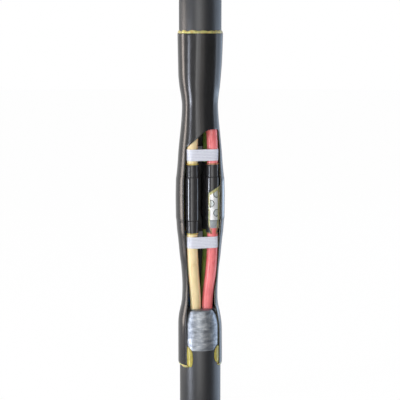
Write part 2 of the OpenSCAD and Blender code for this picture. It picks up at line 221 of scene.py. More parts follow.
def throughMarks(marks, t):
    # Smooth curve through (distance, value) marks, flat at both ends
    t = min(max(t, marks[0][0]), marks[-1][0])
    i = max(k for k in range(len(marks) - 1) if marks[k][0] <= t)

    def rise(k):
        return (marks[k + 1][1] - marks[k][1]) / (marks[k + 1][0] - marks[k][0])

    def slope(k):
        if k in (0, len(marks) - 1) or rise(k - 1) * rise(k) <= 0:
            return 0
        return 2 * rise(k - 1) * rise(k) / (rise(k - 1) + rise(k))

    width = marks[i + 1][0] - marks[i][0]
    u = (t - marks[i][0]) / width
    return (
        marks[i][1] * (2 * u**3 - 3 * u**2 + 1) + slope(i) * width * (u**3 - 2 * u**2 + u)
        + marks[i + 1][1] * (3 * u**2 - 2 * u**3) + slope(i + 1) * width * (u**3 - u**2)
    )


# Small helpers for materials
def toLinear(colour):
    parts = [int(colour[i:i + 2], 16) / 255 for i in (1, 3, 5)]
    return tuple(c / 12.92 if c <= 0.04045 else ((c + 0.055) / 1.055) ** 2.4 for c in parts) + (1,)


def clearNodes(owner):
    owner.use_nodes = True
    owner.node_tree.nodes.clear()
    return owner


def addNode(material, kind, settings=None, links=None):
    # Adds a node; settings are inputs or properties by name, links are inputs by name or number
    node = material.node_tree.nodes.new(kind)
    for name, value in (settings or {}).items():
        if name in node.inputs:
            node.inputs[name].default_value = value
        else:
            setattr(node, name, value)
    for name, source in (links or {}).items():
        material.node_tree.links.new(source, node.inputs[name])
    return node


def makeMaterial(name, settings, patterns, colours, roughness, bumps):
    # Each pattern, a noise or a wave, has its size along x, y and z in millimetres and its settings.
    # Patterns drive the colours by ramp position (two ramps are multiplied), the roughness between two
    # values, and bumps with their depth in millimetres, each on the one before.
    material = clearNodes(bpy.data.materials.new(name))
    coordinates = addNode(material, "ShaderNodeTexCoord").outputs["Object"]
    drawn, ramps, links, normal = {}, [], {}, {}
    for key, (*sizes, more) in patterns.items():
        scale = {"Scale": tuple(1000 / size for size in sizes)}
        vector = addNode(material, "ShaderNodeMapping", scale, {"Vector": coordinates}).outputs[0]
        kind, output = ("ShaderNodeTexWave", 1) if "wave_type" in more else ("ShaderNodeTexNoise", 0)
        settled = {"Scale": 1, "Detail": 3, **more}
        drawn[key] = addNode(material, kind, settled, {"Vector": vector}).outputs[output]
    for key, stops in colours.items():
        node = addNode(material, "ShaderNodeValToRGB", {}, {"Fac": drawn[key]})
        elements = node.color_ramp.elements
        while len(elements) < len(stops):
            elements.new(0.5)
        for element, (position, colour) in zip(elements, stops.items()):
            element.position = position
            element.color = toLinear(colour)
        ramps.append(node.outputs[0])
    links["Base Color"] = ramps[0]
    if len(ramps) > 1:
        blend = {"blend_type": "MULTIPLY", "data_type": "RGBA"}
        mixed = addNode(material, "ShaderNodeMix", blend, {6: ramps[0], 7: ramps[1]})
        mixed.inputs[0].default_value = 1
        links["Base Color"] = mixed.outputs[2]
    if roughness:
        key, lowest, highest = roughness
        spread = {"From Min": 0.3, "From Max": 0.7, "To Min": lowest, "To Max": highest}
        value = addNode(material, "ShaderNodeMapRange", spread, {"Value": drawn[key]})
        links["Roughness"] = value.outputs[0]
    for key, depth in bumps.items():
        raised = {"Strength": 1, "Distance": depth * mm}
        bump = addNode(material, "ShaderNodeBump", raised, {"Height": drawn[key], **normal})
        normal = {"Normal": bump.outputs[0]}
    shader = addNode(material, "ShaderNodeBsdfPrincipled", settings, {**links, **normal})
    addNode(material, "ShaderNodeOutputMaterial", {}, {"Surface": shader.outputs[0]})
    return material


# Outer jacket: thick-walled tube of crosslinked polyethylene, shrunk on with a flame.
# Shrinking leaves a deep gloss that wavers along the tube.
jacketMaterial = makeMaterial(
    "crosslinkedPolyethyleneShrunkGlossy", {"IOR": 1.5, "Specular IOR Level": 0.5},
    {
        "waver": (14, 14, 60, {"Detail": 2}), "grain": (1.4, 1.4, 4, {"Detail": 2}),
        "dust": (2.5, 2.5, 9, {"Detail": 4, "Roughness": 0.6}),
    },
    {"dust": {0.3: "#131314", 0.7: "#1b1b1c"}}, ("dust", 0.19, 0.26), {"waver": 0.08, "grain": 0.002},
)


# Hot-melt adhesive: flows out yellow-green and clear when the tube shrinks, so its edges shine
def hotMeltMaterial(name, light, dark, sizes=(2.5, 2.5, 2.5), lumps=0.15):
    settings = {"IOR": 1.48, "Roughness": 0.22, "Subsurface Weight": 0.25, "Subsurface Scale": 0.0012}
    colours = {"clouds": {0.3: dark, 0.7: light}}
    return makeMaterial(name, settings, {"clouds": (*sizes, {})}, colours, None, {"clouds": lumps})


# The same coat where it lies thin on the black wall; its near-black colour is also painted shade inside the
# jacket
thinCoatAndPaintedShadeMaterial = makeMaterial(
    "hotMeltCoatThinOverBlackAndPaintedShade", {"IOR": 1.48}, {"clouds": (4, 4, 9, {})},
    {"clouds": {0.3: "#0d0d0c", 0.7: "#1a1a14"}}, ("clouds", 0.4, 0.6), {"clouds": 0.1},
)

jacket = {
    "name": "outer_jacket_shrunk",
    "steps": 144,
    "rowSpacing": 1.9 * mm,
    # Outlines: distance from the joint's middle and radius, in millimetres
    "lowerMarks": [
        (0, 24.62), (15.9, 24.45), (20.6, 24.35), (22.4, 24.0), (28.1, 23.6), (34.2, 23.1), (40.2, 22.35),
        (46.6, 21.7), (58.9, 20.6), (71.2, 19.15), (83.8, 18.25), (93, 17.95), (102.2, 18.1), (108.8, 18.75),
        (115.2, 20.1), (121.2, 21.25), (129, 22.05), (137, 22.25), (170, 22.28),
    ],
    "upperMarks": [
        (0, 24.62), (14.5, 24.35), (19.6, 24.15), (21.2, 23.8), (26.6, 23.2), (32.6, 22.6), (44.6, 21.75),
        (56.6, 20.65), (68.5, 19.5), (80.4, 18.5), (91.8, 18.0), (99, 18.55), (109.8, 20.05), (121.8, 21.1),
        (138.8, 21.8), (150.8, 22.1), (163, 22.28),
    ],
    "leanMarks": [(0, 0.1), (60, 0.1), (85, 0.2), (118, 0.6), (134, 0.25), (165, 0.1)],
    "lobeMarks": [(0, 0.08), (50, 0.1), (92, 0.35), (125, 0.12), (165, 0)],
    "uneven": 0.12 * mm,
    "unevenScale": (60, 60, 22),
    "bulgeMost": 0.25 * mm,
    "roundEnd": 25 * mm,
    "straightEnd": 30 * mm,
    "wallMiddle": 1.35 * mm,
    "wallEnds": 1.15 * mm,
    "wallMiddleHalf": 22 * mm,
    "wallFade": 28 * mm,
    "lining": 0.3 * mm,
    "edgeRound": 0.22 * mm,
    "windowLeft": -42,
    "windowRight": 60.5,
    # The knife's wander to the right in degrees, by height over the middle in millimetres, and its reach
    "knifeWaverLeft": [(-170, 4), (-135, 4), (-118, 2.5), (-104, 0), (80, 0)],
    "knifeWaverRight": [
        (-170, 0), (-118, 0), (-109, -2), (-92, 0), (-77, 6), (-60, 3), (-42, 0), (20, 0), (36, 3), (47, 6),
        (80, 6),
    ],
    "knifeReach": 24,
    "windowRim": 61 * mm,
    "rimReachBeside": 28,
    "rimReachAlong": 45 * mm,
    "windowLow": 50.3 * mm,
    "windowLowX": -14.4 * mm,
    "windowHigh": 68.8 * mm,
    "windowSlope": 40.6,
    "windowRound": 12 * mm,
    "cornerRound": 2.5 * mm,
}


def jacketRadius(z):
    t = (z - middleZ) / mm
    marks = jacket["lowerMarks"] if t < 0 else jacket["upperMarks"]
    return throughMarks(marks, abs(t)) * mm


def windowTop(x, right):
    # Height of the window's top edge over a place across the window
    slope = math.radians(jacket["windowSlope"])
    level = middleZ + jacket["windowHigh"]
    corner = jacket["windowLowX"] + (jacket["windowHigh"] - jacket["windowLow"]) / math.tan(slope)
    r = jacket["windowRound"]
    start = corner - r * math.tan(slope / 2) * math.cos(slope)
    end = corner + r * math.tan(slope / 2)
    top = level
    if x < start:
        top = level - (corner - x) * math.tan(slope)
    elif x < end:
        top = level - r + math.sqrt(r**2 - (end - x) ** 2)
    last = jacket["cornerRound"]
    near = max(x - (right - last), 0)
    return top - last + math.sqrt(max(last**2 - near**2, 0))


def buildJacket():
    z0, z1 = farAndNear("outer_jacket", -1)
    rows = round((z1 - z0) / jacket["rowSpacing"])
    heights = [z0 + (z1 - z0) * k / rows for k in range(rows + 1)]
    left, right = math.radians(jacket["windowLeft"]), math.radians(jacket["windowRight"])
    outline = [(jacketRadius(z), z) for z in heights]
    bm = spunOutline(outline, jacket["steps"], closed=False, startAngle=left - math.pi / 2)

    # The window's faces go, then the rows by its top edge move onto the slanted cut
    rim = min(heights, key=lambda z: abs(z - middleZ - jacket["windowRim"]))
    gone = []
    for face in bm.faces:
        centre = face.calc_center_median()
        if left < turnOf(centre) < right and centre.z < rim:
            gone.append(face)
    bmesh.ops.delete(bm, geom=gone, context="FACES")
    rightX = jacketRadius(rim) * math.sin(right)
    for v in bm.verts:
        turn = turnOf(v.co)
        for marks, side in (("knifeWaverLeft", left), ("knifeWaverRight", right)):
            waver = throughMarks(jacket[marks], (v.co.z - middleZ) / mm)
            near = 1 - smoothStep(abs(turn - side) / math.radians(jacket["knifeReach"]))
            v.co = Matrix.Rotation(math.radians(waver) * near, 3, "Z") @ v.co
        inside = min(max(turn, left), right)
        x = jacketRadius(rim) * math.sin(inside)
        beside = abs(turn - inside) / math.radians(jacket["rimReachBeside"])
        pull = (windowTop(x, rightX) - rim) * (1 - smoothStep(beside))
        along = abs(v.co.z - rim) / jacket["rimReachAlong"]
        newZ = v.co.z + pull * (1 - smoothStep(along))
        scale = jacketRadius(newZ) / jacketRadius(v.co.z)
        v.co = Vector((v.co.x * scale, v.co.y * scale, newZ))

    # The four cores press the waists out of round, and the jacket leans a little there
    for v in bm.verts:
        away = abs(v.co.z - middleZ) / mm
        fromCore = turnOf(v.co) - math.radians(cores["yellow"])
        lobe = throughMarks(jacket["lobeMarks"], away) * mm * math.cos(4 * fromCore)
        lean = Vector((throughMarks(jacket["leanMarks"], away) * mm, 0, 0))
        place = Vector([c * scale for c, scale in zip(v.co, jacket["unevenScale"])])
        fromEnd = smoothStep(abs(v.co.z - z0) / jacket["roundEnd"])
        bulge = (lobe + jacket["uneven"] * noise.noise(place)) * fromEnd
        straight = smoothStep(abs(z1 - v.co.z) / jacket["straightEnd"])
        v.co += outwardOf(v.co) * min(bulge, jacket["bulgeMost"]) - lean * straight

    # The wall is a black layer and, inside it, a thin coat of adhesive
    bmesh.ops.recalc_face_normals(bm, faces=bm.faces)
    depthOf = bm.verts.layers.int.new("depth")
    wallFaces = bm.faces[:]
    for depth in (1, 2):
        ret = bmesh.ops.extrude_face_region(bm, geom=wallFaces, use_keep_orig=depth == 1)
        wallFaces = [g for g in ret["geom"] if isinstance(g, bmesh.types.BMFace)]
        for v in vertsOf(ret):
            v[depthOf] = depth
            beyond = abs(v.co.z - middleZ) - jacket["wallMiddleHalf"]
            middle = 1 - smoothStep(beyond / jacket["wallFade"])
            wall = jacket["wallEnds"] + (jacket["wallMiddle"] - jacket["wallEnds"]) * middle
            step = wall - jacket["lining"] if depth == 1 else jacket["lining"]
            v.co -= outwardOf(v.co) * step
    # Inner faces take the near-black coat, painted shade of the jacket's inside; the coat's cut edge keeps
    # its olive colour
    for face in bm.faces:
        depths = {v[depthOf] for v in face.verts}
        face.material_index = 2 if depths == {2} else 1 if 2 in depths else 0
    bmesh.ops.recalc_face_normals(bm, faces=bm.faces)
    softenedEdges(bm, 60, jacket["edgeRound"])
    coatCut = hotMeltMaterial("hotMeltCoatCut", "#8f8a4a", "#5e5a2c")
    materials = [jacketMaterial, coatCut, thinCoatAndPaintedShadeMaterial]
    finishMesh(jacket["name"], bm, materials, "outer_jacket", 50)
    print("jacket made")


buildJacket()

# Cable sheath: extruded PVC, satin dark grey with faint lines along the cable
sheathMaterial = makeMaterial(
    "extrudedPvcSatinDarkGrey", {"IOR": 1.53, "Specular IOR Level": 0.75},
    {"lines": (1.1, 1.1, 90, {}), "specks": (1.6, 1.6, 2.4, {"Detail": 4, "Roughness": 0.6})},
    {"specks": {0.3: "#0f1216", 0.7: "#16191e"}}, ("specks", 0.38, 0.46), {"lines": 0.02, "specks": 0.006},
)

sheath = {"wall": 2.6 * mm, "squeeze": 0.25 * mm, "squeezeLead": 2 * mm, "edge": 0.25 * mm}


def buildSheaths():
    # Even where it is bare, and squeezed a little narrower under the jacket
    for half, sign in halves.items():
        node = half + "_cable_sheath"
        cut, end = farAndNear(node, sign)
        jacketEnd = farAndNear("outer_jacket", sign)[0]
        outline = [
            (cableRadius, cut), (cableRadius, jacketEnd + sign * sheath["squeezeLead"]),
            (cableRadius - sheath["squeeze"], end),
            (cableRadius - sheath["wall"], end), (cableRadius - sheath["wall"], cut),
        ]
        bm = spunOutline(outline, 96)
        softenedEdges(bm, 60, sheath["edge"])
        finishMesh(half + "_sheath_extruded", bm, [sheathMaterial], node)
    print("sheaths made")


buildSheaths()

# Inner covering: soft extruded filler round the cores, matt black and slightly rough where it was cut
fillerMaterial = makeMaterial(
    "extrudedFillerMattBlack", {"IOR": 1.5}, {"crumbs": (0.8, 0.8, 0.8, {"Detail": 4, "Roughness": 0.65})},
    {"crumbs": {0.3: "#262627", 0.7: "#333334"}}, ("crumbs", 0.6, 0.8), {"crumbs": 0.08},
)


def dressFillers():
    for half in halves:
        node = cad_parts[half + "_inner_covering"]
        node.data.materials.clear()
        node.data.materials.append(fillerMaterial)
    print("inner coverings dressed")


dressFillers()


# Core insulation: coloured PVC extruded over the strands, satin, paler where it was handled
def coreMaterial(core, light, base, dark):
    return makeMaterial(
        "extrudedCoreInsulation_" + core,
        {"IOR": 1.5, "Subsurface Weight": 0.12, "Subsurface Scale": 0.0015},
        {"lines": (0.9, 0.9, 60, {}), "clouds": (5, 5, 16, {})},
        {"clouds": {0.25: dark, 0.5: base, 0.78: light}}, ("clouds", 0.25, 0.34),
        {"lines": 0.02, "clouds": 0.03},
    )


# Conductor: bundle of drawn aluminium wires, bright where it was sawn
strandMaterial = makeMaterial(
    "drawnAluminiumStrands", {"Metallic": 1}, {"scratches": (0.25, 1.4, 1.4, {})},
    {"scratches": {0.3: "#a9abad", 0.7: "#c9cbcc"}}, ("scratches", 0.28, 0.42), {"scratches": 0.02},
)

coreColours = {
    "yellow": ("#e2d1a6", "#dac696", "#d0b989"),
    "red": ("#e67f80", "#dc7273", "#cf6566"),
    "green": ("#8fa552", "#809648", "#6f853d"),
    "blue": ("#3a66a6", "#2c5694", "#234679"),
}


def wayStation(t):
    # Distance of a core's centre from the joint's axis, and its tilt, at a distance from the middle
    shape = coreShape
    shift = bundleRadius - shape["ringRadius"]
    angle = 2 * math.atan(shift / shape["bendLength"])
    bendRadius = shape["bendLength"] / (2 * math.sin(angle))
    near, far = shape["straightHalf"], shape["straightHalf"] + shape["bendLength"]
    if t <= near:
        return bundleRadius, 0
    if t <= (near + far) / 2:
        tilt = math.asin((t - near) / bendRadius)
        return bundleRadius - bendRadius * (1 - math.cos(tilt)), tilt
    if t <= far:
        tilt = math.asin((far - t) / bendRadius)
        return shape["ringRadius"] + bendRadius * (1 - math.cos(tilt)), tilt
    return shape["ringRadius"], 0


def wayDistances(start, end):
    near, bend, steps = coreShape["straightHalf"], coreShape["bendLength"], coreShape["bendSteps"]
    bends = [near + bend * k / steps for k in range(steps, -1, -1)]
    return [start] + [t for t in bends if end < t < start] + [end]


def stationMatrix(core, sign, t):
    distance, tilt = wayStation(t)
    outward = coreDirection(core)
    sideways = Vector((0, 0, 1)).cross(outward)
    place = Matrix.Translation(outward * distance + Vector((0, 0, middleZ + sign * t)))
    return place @ Matrix.Rotation(-sign * tilt, 4, sideways)


def bentRod(bm, core, sign, radius, start, end, segments):
    # A round rod swept along the core's way; returns the face at its start
    verts = bmesh.ops.create_circle(bm, cap_ends=True, radius=radius, segments=segments)["verts"]
    before = stationMatrix(core, sign, start)
    bmesh.ops.transform(bm, matrix=before, verts=verts)
    cap = next(f for f in bm.faces if all(v in f.verts for v in verts))
    ring = [e for e in bm.edges if all(v in verts for v in e.verts)]
    for t in wayDistances(start, end)[1:]:
        verts, ring = extrudeRing(bm, ring)
        here = stationMatrix(core, sign, t)
        bmesh.ops.transform(bm, matrix=here @ before.inverted(), verts=verts)
        before = here
    bmesh.ops.contextual_create(bm, geom=ring)
    return cap


def buildCores():
    shape = coreShape
    for core in cores:
        insulation = coreMaterial(core, *coreColours[core])
        for half, sign in halves.items():
            cut = abs(farAndNear(half + "_cable_sheath", sign)[0] - middleZ)
            bm = bmesh.new()
            cap = bentRod(bm, core, sign, shape["radius"], cut, shape["insulationEnd"], 48)
            bmesh.ops.inset_region(
                bm, faces=[cap], thickness=shape["radius"] - shape["conductorRadius"],
                use_even_offset=True,
            )
            inner = vertsOf(bmesh.ops.extrude_face_region(bm, geom=[cap]))
            bmesh.ops.translate(bm, vec=(0, 0, -sign * shape["recess"]), verts=inner)
            bmesh.ops.recalc_face_normals(bm, faces=bm.faces)
            softenedEdges(bm, 60, shape["edge"])
            node = f"{half}_core_{core}"
            finishMesh(node + "_insulated", bm, [insulation], node)

            # Nineteen wires show at the sawn end: one, six round it and twelve round those
            bm = bmesh.new()
            rodRadius = shape["conductorRadius"] * shape["rodFill"]
            rodStart = cut - shape["rodBehind"] * shape["recess"]
            bentRod(bm, core, sign, rodRadius, rodStart, shape["conductorEnd"], 32)
            wire = shape["conductorRadius"] / 5 * shape["wireFill"]
            centre = stationMatrix(core, sign, cut).translation
            inward = Vector((0, 0, sign * shape["recess"] / 2))
            for ring, count in enumerate(shape["wireRings"]):
                for k in range(count):
                    angle = 2 * math.pi * (k + 0.5 * (ring == 2)) / count
                    away = Vector((math.cos(angle), math.sin(angle), 0)) * ring * shape["ringStep"] * wire
                    bmesh.ops.create_cone(
                        bm, cap_ends=True, segments=14, radius1=wire, radius2=wire,
                        depth=shape["recess"], matrix=Matrix.Translation(centre + away - inward),
                    )
            bmesh.ops.recalc_face_normals(bm, faces=bm.faces)
            node = f"{half}_conductor_{core}"
            finishMesh(node + "_stranded", bm, [strandMaterial], node)
    print("cores and conductors made")


buildCores()

# Sleeves: thin-walled shrunk tube over each connector, black, with thin sharp highlights
sleeveMaterial = makeMaterial(
    "shrunkSleeveBlackSatin", {"IOR": 1.5},
    {"waver": (6, 6, 40, {"Detail": 2}), "specks": (1.2, 1.2, 4, {})},
    {"specks": {0.3: "#262627", 0.7: "#303031"}}, ("specks", 0.07, 0.11), {"waver": 0.03, "specks": 0.001},
)

sleeveShape = {
    "lining": 0.2 * mm,
    "wall": 0.7 * mm,
    "coneStart": connectorHalf + 0.6 * mm,
    "coneEnd": connectorHalf + 8 * mm,
    "step": 0.6 * mm,
    "bead": 1.4 * mm,
    "beadHeight": 0.7 * mm,
    "creaseDepth": 0.4 * mm,
    "creaseWidth": 0.45 * mm,
    "creaseBeyond": 0.3 * mm,
    # The opening, from the connector's centre: its sides, its slanted top, and the gap at its foot
    "cutLeft": -4.3 * mm,
    "cutSide": 0.6 * mm,
    "cutLow": 5.9 * mm,
    "cutSlope": 32,
    "cutTurn": -26.6 * mm,
    "cutClose": -33 * mm,
    "cutPast": 2 * mm,
    "footPast": 1 * mm,
    "gapLeft": -2.0 * mm,
    "gapRight": 4.4 * mm,
    "filmLeft": -0.5 * mm,
    "filmRight": 3.3 * mm,
    "liningShow": 2.8 * mm,
    "liningShowLeft": 1.9 * mm,
    "filmTop": -29.9 * mm,
    "edge": 0.12 * mm,
}


def underSleeve(t):
    # Radius of connector, mastic cone and core under the sleeve's lining
    t = abs(t)
    shape = sleeveShape
    if t <= connectorHalf:
        return connectorRadius
    if t <= shape["coneStart"]:
        u = (t - connectorHalf) / (shape["coneStart"] - connectorHalf)
        return connectorRadius - shape["step"] * smoothStep(u)
    u = (t - shape["coneStart"]) / (shape["coneEnd"] - shape["coneStart"])
    start = connectorRadius - shape["step"]
    return start + (coreShape["radius"] - start) * smoothStep(u)


def coneHeights(steps):
    start, end = sleeveShape["coneStart"], sleeveShape["coneEnd"]
    return [start + (end - start) * k / steps for k in range(steps + 1)]


def sleeveHeights():
    half = [0, 5, 10, 14, 17, 19, 20.2, 20.8, 21.2]
    heights = [t * mm for t in half] + [connectorHalf + t * mm for t in (0, 0.15, 0.3, 0.45)]
    heights += coneHeights(14) + [sleeveHalf]
    return [-t for t in reversed(heights) if t > 0] + heights


def sleeveSurface(t):
    # Outside of a sleeve: it follows what it was shrunk on, with a sharp crease at the connector's end
    shape = sleeveShape
    fromCrease = (abs(t) - connectorHalf - shape["creaseBeyond"]) / shape["creaseWidth"]
    crease = shape["creaseDepth"] * math.exp(-fromCrease**2)
    return underSleeve(t) + shape["lining"] + shape["wall"] - crease


def cutOutlines():
    # As the knife went, slanted above and closing in to a gap at the foot; the lining shows all round
    shape = sleeveShape
    slope = math.radians(shape["cutSlope"])
    right = connectorRadius + shape["lining"] + shape["cutPast"]
    foot = -(sleeveHalf + shape["bead"] + shape["footPast"])
    rise = (right - shape["cutLeft"]) * math.tan(slope)
    sleeveCut = [
        (shape["cutLeft"], shape["cutLow"]), (right, shape["cutLow"] + rise), (right, shape["cutTurn"]),
        (shape["gapRight"], shape["cutClose"]), (shape["gapRight"], foot),
        (shape["gapLeft"], foot), (shape["gapLeft"], shape["cutClose"]),
        (shape["cutLeft"], shape["cutTurn"]),
    ]
    left = shape["cutLeft"] + shape["liningShowLeft"]
    lowEnd = shape["cutLow"] - shape["liningShow"] / math.cos(slope)
    liningCut = [
        (left, lowEnd + shape["liningShowLeft"] * math.tan(slope)), (right, lowEnd + rise),
        (right, shape["filmTop"]), (shape["filmRight"], shape["filmTop"]), (shape["filmRight"], foot),
        (shape["filmLeft"], foot), (shape["filmLeft"], shape["filmTop"]), (left, shape["filmTop"]),
    ]
    return sleeveCut, liningCut


def cutterFor(core, outline, side):
    # Prism in front of the connector that stands a distance before its axis
    bm = bmesh.new()
    centre = connectorCentre(core)
    verts = [bm.verts.new((centre.x + x, centre.y - side, middleZ + z)) for x, z in outline]
    face = bm.faces.new(verts)
    moved = vertsOf(bmesh.ops.extrude_face_region(bm, geom=[face], use_keep_orig=True))
    bmesh.ops.translate(bm, vec=(0, -(connectorRadius + 5 * mm), 0), verts=moved)
    bmesh.ops.recalc_face_normals(bm, faces=bm.faces)
    return meshObject("knife_cut", bm)


def cutOpen(bm, cutter):
    # The bmesh with the cutter's solid taken out of it; the cutter is used up
    whole = meshObject("uncut", bm)
    modifier = whole.modifiers.new("cut", "BOOLEAN")
    modifier.operation = "DIFFERENCE"
    modifier.solver = "EXACT"
    modifier.object = cutter
    bpy.context.view_layer.update()
    cut = whole.evaluated_get(bpy.context.evaluated_depsgraph_get())
    result = bmesh.new()
    result.from_mesh(cut.to_mesh())
    cut.to_mesh_clear()
    bpy.data.objects.remove(whole)
    bpy.data.objects.remove(cutter)
    return result


def buildSleeves():
    shape = sleeveShape
    sleeveCut, liningCut = cutOutlines()
    linings = {
        "yellow": hotMeltMaterial("hotMeltLiningOnYellow", "#c9b568", "#978142"),
        "red": hotMeltMaterial("hotMeltLiningOnGreyMetal", "#c0bb8c", "#97925e"),
        "green": hotMeltMaterial("hotMeltLiningOnGreen", "#8f9a48", "#6b7434"),
        "blue": hotMeltMaterial("hotMeltLiningOnBlue", "#7f8a5c", "#5c6644"),
    }
    filmOnRed = hotMeltMaterial("hotMeltFilmOnRed", "#b98a6c", "#86502f")
    smeared = hotMeltMaterial("hotMeltSmearedOnSleeve", "#a19a78", "#736d4c")
    for core in cores:
        opened = core == openedCore
        centre = connectorCentre(core)
        heights = sleeveHeights()
        inside = [(underSleeve(t) + shape["lining"], middleZ + t) for t in heights]
        outline = [(sleeveSurface(t), middleZ + t) for t in heights] + inside[::-1]
        bm = spunOutline(outline, 96, centre)
        if opened:
            bm = cutOpen(bm, cutterFor(core, sleeveCut, shape["cutSide"]))
        softenedEdges(bm, 60, shape["edge"])
        if opened:
            # The knife drew adhesive over the sleeve's cut side
            bm.normal_update()
            for face in bm.faces:
                behind = abs(centre.y - face.calc_center_median().y - shape["cutSide"])
                face.material_index = int(face.normal.y < -0.9 and behind < 0.1 * mm)
        materials = [sleeveMaterial, smeared] if opened else [sleeveMaterial]
        finishMesh(f"sleeve_{core}_shrunk", bm, materials, f"sleeve_{core}", 40)

        outline = inside
        for sign in (1, -1):
            rounds = quarterRound(
                coreShape["radius"], middleZ + sign * sleeveHalf,
                shape["beadHeight"], sign * shape["bead"], (0, 25, 50, 75, 90),
            )
            outline = outline + rounds if sign > 0 else rounds[::-1] + outline
        outline += [(underSleeve(t), middleZ + t) for t in reversed(heights)]
        bm = spunOutline(outline, 96, centre)
        if opened:
            bm = cutOpen(bm, cutterFor(core, liningCut, shape["cutSide"] + shape["liningShow"]))
            for face in bm.faces:
                away = abs(face.calc_center_median().z - middleZ)
                face.material_index = int(away > -shape["filmTop"] - 1 * mm)
        materials = [linings[core], filmOnRed] if opened else [linings[core]]
        finishMesh(f"sleeve_lining_{core}_flowed", bm, materials, f"sleeve_lining_{core}", 45)
    print("sleeves and linings made")


buildSleeves()

# Mastic: grey butyl cone that fills the step from connector to core, dull and slightly lumpy
masticMaterial = makeMaterial(
    "butylMasticDullGrey", {"IOR": 1.5}, {"lumps": (1.6, 1.6, 1.6, {"Detail": 4, "Roughness": 0.6})},
    {"lumps": {0.3: "#7b8082", 0.7: "#9a9ea0"}}, ("lumps", 0.45, 0.65), {"lumps": 0.25},
)


def buildMastics():
    for core in cores:
        centre = connectorCentre(core)
        for half, sign in halves.items():
            steps = [connectorHalf, connectorHalf + 0.3 * mm] + coneHeights(8)
            outline = [(underSleeve(t), middleZ + sign * t) for t in steps]
            inner = coreShape["insulationEnd"]
            outline += [
                (coreShape["radius"], middleZ + sign * inner),
                (coreShape["conductorRadius"], middleZ + sign * inner),
                (coreShape["conductorRadius"], middleZ + sign * connectorHalf),
            ]
            bm = spunOutline(outline, 64, centre)
            node = f"{half}_mastic_{core}"
            finishMesh(node + "_pressed", bm, [masticMaterial], node)
    print("mastics made")


buildMastics()

# Connector: turned aluminium, tin-plated, silky white metal. The marks of the tool, too fine to show, are
# drawn 0.25 mm high.
platedMaterial = makeMaterial(
    "tinPlatedAluminiumTurned", {"Metallic": 0.55}, {"turning": (3, 3, 0.25, {})},
    {"turning": {0.3: "#d3d4d5", 0.7: "#e6e6e5"}}, ("turning", 0.48, 0.6), {"turning": 0.015},
)

# Shear bolts: brass plated grey, torn and dull where the head came off
tornMaterial = makeMaterial(
    "platedShearBoltTorn", {"Metallic": 0.4}, {"tear": (0.5, 0.5, 0.5, {})},
    {"tear": {0.3: "#b2b8b5", 0.7: "#d3d8d5"}}, ("tear", 0.3, 0.55), {"tear": 0.1},
)

# Drilled seats and bolt flanks: contact grease in the threads, dark and even, and painted shade in these
# recesses
greaseAndPaintedShadeMaterial = makeMaterial(
    "contactGreaseAndPaintedShadeInSeats", {"IOR": 1.5}, {"lumps": (0.8, 0.8, 0.8, {})},
    {"lumps": {0.3: "#4c4f49", 0.7: "#656860"}}, ("lumps", 0.35, 0.5), {"lumps": 0.1},
)

connectorShape = {
    "bolts": 4,
    "boltRadius": 3.4 * mm,
    "boltPitch": 9.4 * mm,
    "boltSpread": 61,
    "boltTurn": -44.5,
    "boltSink": 0.6 * mm,
    "chamfer": 0.35 * mm,
    "chamferHeight": 0.9 * mm,
    "stumpRadius": 1.2 * mm,
    "stumpHeight": 0.3 * mm,
    "groove": 0.35 * mm,
    "drillWiden": 0.1 * mm,
    "drillDepth": 4 * mm,
    "boreGap": 0.3 * mm,
    "edge": 0.5 * mm,
    "drilledEdge": 0.12 * mm,
}


def boltMatrix(core, i):
    shape = connectorShape
    side = 0.5 if i % 2 == 0 else -0.5
    turn = math.radians(cores[core] - 90 + shape["boltTurn"] + side * shape["boltSpread"])
    place = connectorCentre(core) + Vector((0, 0, middleZ + (i - 1.5) * shape["boltPitch"]))
    return Matrix.Translation(place) @ Matrix.Rotation(turn, 4, "Z") @ Matrix.Rotation(math.pi / 2, 4, "Y")


